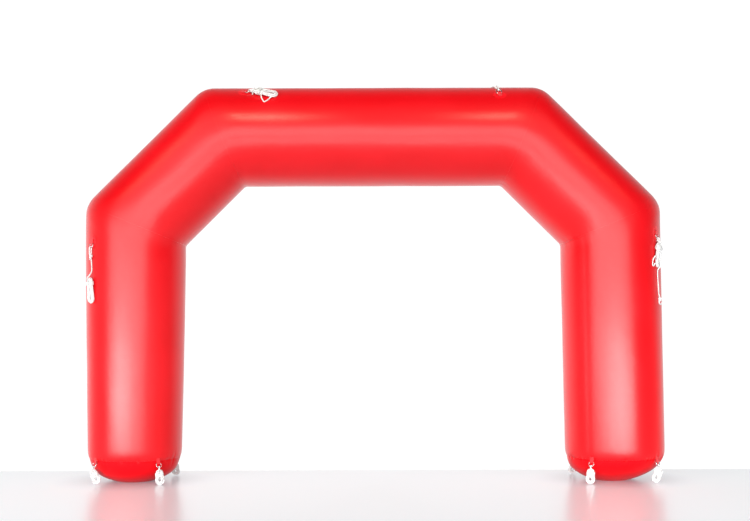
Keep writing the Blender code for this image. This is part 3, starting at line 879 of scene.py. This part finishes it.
def wound_turns(hank, seed):
    """The rope's turns in hank directions: one in the middle, the rest laid round it."""
    random = np.random.default_rng(seed)
    ring = hank_ring(hank)
    around = hank.turns - 1
    pitch = max(ROPE * 0.97, ROPE * 0.5 / sin(pi / around) * 0.99)
    wobble = random.uniform(0, 2 * np.pi, 3)
    points = []
    for index in range(round(ROUND_STEPS * (hank.turns - 0.16)) + 1):
        turn = index / ROUND_STEPS
        spot = (turn % 1) * len(ring)
        here = ring[int(spot) % len(ring)]
        ahead = ring[(int(spot) + 3) % len(ring)]
        behind = ring[(int(spot) - 3) % len(ring)]
        run = (ahead - behind).normalized()
        out = Vector((run.y, -run.x, 0.0))
        lift_out = pitch * ease(min(1.0, max(0.0, (turn - 0.82) / 0.18)))
        lift_out *= 1 + 0.05 * sin(3.1 * turn * 2 * pi + wobble[0])
        angle = 2 * pi * (turn - 1) / around + 0.12 * sin(turn * 4.3 + wobble[1])
        slack = 0.0022 * sin(turn * 2.9 + wobble[2]) * sin(pi * (turn % 1)) ** 2
        point = here + out * (lift_out * cos(angle) - slack)
        points.append((point.x, point.y, lift_out * sin(angle)))
    return points


def wraps(hank):
    """Binding turns round both strands, going down from the right shoulder."""
    waist = hank.strand / 2 + HANK_SLIT
    reach = hank.strand / 2 + ROPE_RADIUS * 0.92
    start = WRAP_START * hank.strand + ROPE_RADIUS
    points = []
    for half in range(2 * WRAPS + 1):
        side = 1 if half % 2 == 0 else -1
        steps = 7 if half else 4
        for step in range(7 - steps, 7):
            angle = radians(180 * half - 90 + 30 * step)
            share = half - 0.5 + step / 6
            points.append((side * waist + reach * cos(angle), start + ROPE * 1.03 * share / 2,
                           -reach * sin(angle)))
    return points


def hank_entry(hank, face):
    """From a strand over the hank's top, in under its binding; face is 1 in front, -1 behind."""
    valley = hank.strand * 0.36
    over = hank.strand / 2 + ROPE_RADIUS
    wrapped = WRAP_START * hank.strand
    return [(0.0, hank.strand * 0.12, over * face), (0.0, hank.strand * 0.55, over * face),
            (0.0, wrapped, (valley + 0.001) * face), (0.0, wrapped + WRAP_LENGTH, valley * face),
            (hank.strand * 0.20, wrapped + WRAP_LENGTH + 0.016, valley * 0.75 * face)]


def hank_route(hank, seed, frame_point, stray=(), face=1):
    """In under the binding, round the turns and round the binding."""
    turns = wound_turns(hank, seed)[4:]
    rows = [frame_point(*point) for point in hank_entry(hank, face) + turns]
    if stray:
        rows = spliced(rows, [Vector(row) for row in stray])
    return rows + [frame_point(*point) for point in wraps(hank)]


def spliced(rows, stray):
    """Lets the last turn leave the hank along the stray rows."""
    recent = range(len(rows) - ROUND_STEPS, len(rows))
    leave = min(recent, key=lambda i: (rows[i] - stray[0]).length)
    rejoin = min(range(leave, len(rows)), key=lambda i: (rows[i] - stray[-1]).length)
    return rows[:leave] + stray + rows[rejoin:]


def tail_end(hank):
    """The rope's end, in hank directions: it pokes out behind the binding."""
    low = WRAP_START * hank.strand + WRAP_LENGTH
    reach = hank.strand / 2 + ROPE_RADIUS
    return [(-0.010, low + 0.004, reach * 0.98), (-0.022, low + 0.014, reach * 0.92),
            (-0.032, low + 0.028, reach * 0.75)]


def make_rope(name, place, rows, material, replaced):
    """A braided rope along a route in a place's directions; its UV map runs along its real length.
    """
    line = [place(*row) for row in smooth_line(rows, ROPE_STEP)]
    bm = curve_mesh(name, line, ROPE_RADIUS, 3)
    uv = bm.loops.layers.uv.active
    total = sum((b - a).length for a, b in zip(line, line[1:]))
    for face in bm.faces:
        for loop in face.loops:
            loop[uv].uv.x *= total
    rope = finished(name, bm, material, replaced)
    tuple(line[0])


def make_knot(name, centre, material):
    """A small overhand knot pulled tight on a strand."""
    line = []
    for step in range(KNOT_STEPS):
        t = 2 * pi * step / KNOT_STEPS
        trefoil = Vector((sin(t) + 2 * sin(2 * t), 1.15 * sin(3 * t),
                          cos(t) - 2 * cos(2 * t)))
        line.append(centre + KNOT_SIZE * trefoil)
    bm = curve_mesh(name, line, ROPE_RADIUS, 3, cyclic=True)
    return finished(name, bm, material, [])


# ---- fittings with their ropes
def fit_ring(name, place, base, finishes):
    """A D-ring in its strap, on a skin or a patch of the given height; returns its bar's lift."""
    bar_lift = base + STRAP_THICKNESS / 2 + EYE_RADIUS
    make_strap(name, place, base, finishes["webbing"], finishes["thread"])
    make_ring(name, place, bar_lift, finishes["steel"])
    return bar_lift


def fit_patched_ring(name, place, finishes):
    make_patch(name, place, finishes["patch"])
    return fit_ring(name, place, PATCH_THICKNESS + STRAP_SAG + 2 * GAP, finishes)


def long_hank_frame(top):
    """A long hank lying on the skin: its binding holds its top off, its bottom touches."""
    reach = LONG_HANK.length - LONG_HANK.strand
    low = LONG_HANK.strand / 2 + GAP
    high = low + WRAP_RISE * 1.35
    lean = -math.degrees(math.atan2(high - low, reach))
    return hank_frame(LONG_HANK, (0, top, high), lean)


# A rope is tied with a long hitch where a strand hangs from it, and else with a short one:
# the standing rope's across and lift, the hitch's top and bottom, and its turns.
LONG_HITCH = ((-0.003, 0.0168), 0.094, 0.118, 2.25)
SHORT_HITCH = ((0.0, 0.0225), 0.045, 0.057, 1.25)


def fit_guy(name, place, finishes, tied, run, top, seed, parts, stray=(), end=None, hanging=(),
            knot=None):
    """A patched ring and its rope: a hitch, a run down to a hank, and the end beyond it.

    The hank's last turn may stray from it. The end is in hank directions, and what hangs
    below it is in the place's own, as is the run.
    """
    lift = fit_patched_ring(name, place, finishes)
    frame_point = long_hank_frame(top)
    rows = ring_hitch(lift, *tied) + list(run) + hank_route(LONG_HANK, seed, frame_point, stray)
    rows += [frame_point(*point) for point in end or tail_end(LONG_HANK)] + list(hanging)
    if knot:
        make_knot(f"end_knot_{name}", place(*knot), finishes["rope"])
    make_rope(f"guy_rope_{name}", place, rows, finishes["rope"],
              [f"{part}_{name}" for part in parts])


def fit_guys(finishes):
    # Left leg: a strand down to a hank.
    fit_guy("leg_left", leg_place(LEFT, 47, 2.030), finishes, LONG_HITCH,
            [(-0.003, 0.140, 0.0120), (-0.004, 0.165, 0.0110), (-0.006, 0.198, 0.0110),
             (-0.009, 0.230, 0.0130), (-0.014, 0.258, 0.0290)],
            0.286, 5, ("rope", "hank"))

    # Right leg: the hank is tied straight to the ring; a loop strays from it, its end hangs.
    top = 0.062
    bottom = top + LONG_HANK.length
    fit_guy("leg_right", leg_place(RIGHT, 52.5, 2.094), finishes, SHORT_HITCH, (),
            top, 6, ("tie", "hank", "loop", "end"),
            stray=[(-0.0436, 0.243, 0.018), (-0.057, 0.252, 0.013), (-0.062, 0.267, 0.0080),
                   (-0.070, 0.263, REST), (-0.072, 0.243, REST), (-0.068, 0.213, 0.0080),
                   (-0.055, 0.186, 0.017), (-0.0421, 0.180, 0.022)],
            end=[(0.0, 0.090, 0.010), (0.0, 0.130, 0.004), (0.0, 0.165, 0.012),
                 (0.0, 0.192, 0.0215)],
            hanging=[(0.0, bottom - 0.004, 0.0300), (0.0, bottom + 0.018, 0.0120),
                     (0.010, 0.360, REST), (0.018, 0.430, REST), (0.025, 0.500, REST),
                     (0.029, 0.540, 0.0120), (0.027, 0.562, REST), (0.032, 0.582, 0.0065),
                     (0.049, 0.592, 0.0100), (0.065, 0.584, 0.0160), (0.072, 0.570, 0.0210)],
            knot=(0.028, 0.548, 0.0125))

    # Beam, left: a hank along the front of the top, with one loop drooping from it.
    fit_guy("beam_left", beam_place(-1.085, 55.5, 104), finishes, SHORT_HITCH, (),
            top, 7, ("tie", "hank", "loop"),
            stray=[(0.0398, 0.146, 0.022), (0.051, 0.149, 0.015), (0.073, 0.162, 0.0070),
                   (0.095, 0.180, REST), (0.106, 0.192, REST), (0.098, 0.204, REST),
                   (0.076, 0.219, 0.0065), (0.054, 0.230, 0.0125), (0.0431, 0.233, 0.018)])

    # Beam, right: the strand goes up over the beam, and its hank lies on the slope behind.
    fit_guy("beam_right", beam_place(1.085, 50.5, -8), finishes, LONG_HITCH,
            [(-0.003, 0.140, 0.0100), (-0.002, 0.170, REST), (0.0, 0.220, REST),
             (0.0, 0.290, REST), (0.0, 0.360, REST), (0.0, 0.420, REST), (0.0, 0.450, 0.0140),
             (0.0, 0.478, 0.0330)],
            0.500, 8, ("rope", "hank"))


def fit_foot_ties(leg, finishes):
    """The D-rings round a foot; a short hank hangs from each one that carries a rope."""
    for seed, tie in enumerate(FOOT_TIES):
        name = f"{leg.name}_{tie.place}"
        place = foot_place(leg, tie.bearings[leg.side > 0])
        lift = fit_ring(name, place, GAP, finishes)
        if tie.hank:
            level = lift + BOW_RISE
            frame_point = hank_frame(SHORT_HANK, (0, FOOT_HANK_TOP, level), tie.lean, tie.turn,
                                     tie.roll)
            rows = [frame_point(*point) for point in hank_entry(SHORT_HANK, 1)[::-1]]
            rows += bow_loop(lift) + hank_route(SHORT_HANK, 40 + seed, frame_point, face=-1)
            rows += [frame_point(*point) for point in tail_end(SHORT_HANK)]
            make_rope(f"foot_rope_{name}", place, rows, finishes["rope"],
                      [f"tie_{name}", f"hank_{name}"])


# ---- stage and light
FLOOR_EDGE = 0.65  # behind this line the floor runs out into the white
FLOOR_HALF_SIZE = 60
# The front glow fades in and out by its bearing in degrees and by the sine of its elevation.
FRONT_LEFT = (-60.0, -46.0)
FRONT_RIGHT = (40.0, 22.0)
FRONT_TOP = (0.34, 0.10)
FRONT_GLOW = 5.5
BACK_GLOW = 1.0
CEILING_GLOW = 0.03
# Low panels stand round the front of each leg, at these bearings and of this radiance.
LOW_PANELS = {
    "left": ((-44, 14), (-27, 28), (-9, 23), (9, 6)),
    "right": ((-27, 11), (-9, 23), (9, 28), (27, 23)),
}
LOW_PANEL_DISTANCE = 6.0
LOW_PANEL_HEIGHT = 0.40
LOW_PANEL_SIZE = (2.1, 0.76)
LAMP_TINT = (1.0, 0.85, 0.62)
SHOULDER_LAMP_TINT = (1.0, 0.75, 0.35)


def add_floor():
    """A smooth white floor whose glow is dimmed close round each foot as a painted contact shadow.
    """
    bm = bmesh.new()
    bmesh.ops.create_grid(bm, x_segments=1, y_segments=1, size=FLOOR_HALF_SIZE)
    bmesh.ops.translate(bm, verts=bm.verts, vec=(0, FLOOR_EDGE - FLOOR_HALF_SIZE, 0))
    mesh = bpy.data.meshes.new("floor")
    bm.to_mesh(mesh)
    bm.free()
    floor = bpy.data.objects.new("floor", mesh)
    bpy.context.scene.collection.objects.link(floor)
    finish = new_finish("floor", (0.515, 0.54, 0.585), 0.29, IOR=2.2, Emission_Strength=0.28)
    x, y, _ = finish.axes(finish.coordinates("Object"))
    # The glow dims within about 0.75 m of each leg's axis: a painted contact shadow round each
    # foot.
    away = ((abs(x) - LEG_AXIS) ** 2 + y ** 2) ** 0.5
    glow = finish.blend(finish.ramp(away, 0.25, 0.75), (0.42, 0.50, 0.54), (0.93, 0.98, 1.0))
    drive(finish, Emission_Color=glow)
    mesh.materials.append(finish.material)


def add_panel(name, location, target, size, radiance, colour=(1, 1, 1), glossy=True, spread=180):
    """A rectangular light of the given radiance, turned to face its target."""
    light = bpy.data.lights.new(name, "AREA")
    light.shape = "RECTANGLE"
    light.size, light.size_y = size
    light.energy = radiance * pi * size[0] * size[1]
    light.color = colour
    if spread < 180:
        half = radians(spread) / 2
        light.spread = 2 * half
        light.energy *= 1 - half / math.tan(half)
    panel = bpy.data.objects.new(name, light)
    bpy.context.scene.collection.objects.link(panel)
    panel.location = location
    aim = Vector(target) - Vector(location)
    panel.rotation_euler = aim.to_track_quat("-Z", "Y").to_euler()
    panel.visible_camera = False
    panel.visible_glossy = glossy


def add_world():
    """A wide low glow in front, a bright wall behind, dim sides and a dark ceiling."""
    world = bpy.data.worlds.new("studio")
    bpy.context.scene.world = world
    world.use_nodes = True
    finish = Finish(world.node_tree)
    x, y, z = finish.axes(finish.coordinates("Generated"))
    bearing = x.maths("ARCTAN2", x, 0 - y) * (180 / pi)
    front = (finish.ramp(bearing, *FRONT_LEFT) * finish.ramp(bearing, *FRONT_RIGHT)
             * finish.ramp(z, *FRONT_TOP))
    behind = finish.ramp(y, -0.05, 0.75) * finish.ramp(z, 0.95, 0.10, 0.25, 1.0)
    sides = finish.ramp(x, 1.0, -1.0, 0.08, 0.46) * finish.ramp(z, 0.60, 0.10)
    high_left = finish.ramp(x * -0.53 + y * -0.68 + z * 0.50, 0.90, 0.99) * 1.2
    high_right = finish.ramp(x * 0.53 + y * -0.68 + z * 0.50, 0.90, 0.99) * 0.65
    glow = (CEILING_GLOW + front * FRONT_GLOW + high_left + high_right + behind * BACK_GLOW
            + sides)
    seen = finish.node("ShaderNodeLightPath", output="Is Camera Ray")
    background = world.node_tree.nodes["Background"]
    background.inputs["Color"].default_value = (1, 1, 1, 1)
    feed(world.node_tree, background.inputs["Strength"], seen * 1.05 + (1 - seen) * glow)


def add_lights():
    add_panel("floor_strip", (-2.4, -9.5, 0.42), (-2.4, 0, 0.42), (14.0, 0.75), 8.5)
    add_panel("lamp_left", (-1.24, -2.8, 5.06), (-1.0, 0, 3.0), (0.55, 0.5), 26.5, LAMP_TINT)
    add_panel("lamp_right", (1.41, -2.8, 5.06), (1.0, 0, 3.0), (0.45, 0.5), 24.2, LAMP_TINT)
    add_panel("front_fill", (0, -9.0, 3.0), (0, 0, 1.5), (12.0, 5.0), 0.5, glossy=False)
    add_panel("top_fill", (0, -2.0, 6.0), (0, 0, 3.2), (6.0, 2.0), 0.75, glossy=False)
    for leg, radiance in zip(LEGS, (5.5, 4.0)):
        add_panel(f"shoulder_lamp_{leg.name}", (leg.side * 4.35, -2.55, 5.15),
                  (leg.side * 1.9, -0.4, 2.8), (1.3, 0.35), radiance, SHOULDER_LAMP_TINT)
    for leg in LEGS:
        add_panel(f"inner_fill_{leg.name}", (0, -0.6, 0.9), (leg.side * LEG_AXIS, 0, 0.8),
                  (2.4, 1.6), 0.6, glossy=False, spread=110)
        for bearing, radiance in LOW_PANELS[leg.name]:
            turn = radians(bearing)
            foot = Vector((leg.side * LEG_AXIS, 0, LOW_PANEL_HEIGHT))
            stand = foot + LOW_PANEL_DISTANCE * Vector((sin(turn), -cos(turn), 0))
            add_panel(f"low_{leg.name}", stand, foot, LOW_PANEL_SIZE, radiance, spread=55)


# ---- scene
def main():
    bpy.context.scene.view_settings.view_transform = "Standard"
    add_camera()
    finishes = {
        "rope": rope_finish(),
        "patch": patch_finish(),
        "webbing": webbing_finish(),
        "thread": thread_finish(),
        "steel": steel_finish(),
    }
    fit_guys(finishes)
    for leg in LEGS:
        fit_foot_ties(leg, finishes)
    make_skin(skin_finish("pvc_skin", 1.46), skin_finish("base_skin", 1.25))
    add_floor()
    add_world()
    add_lights()


main()
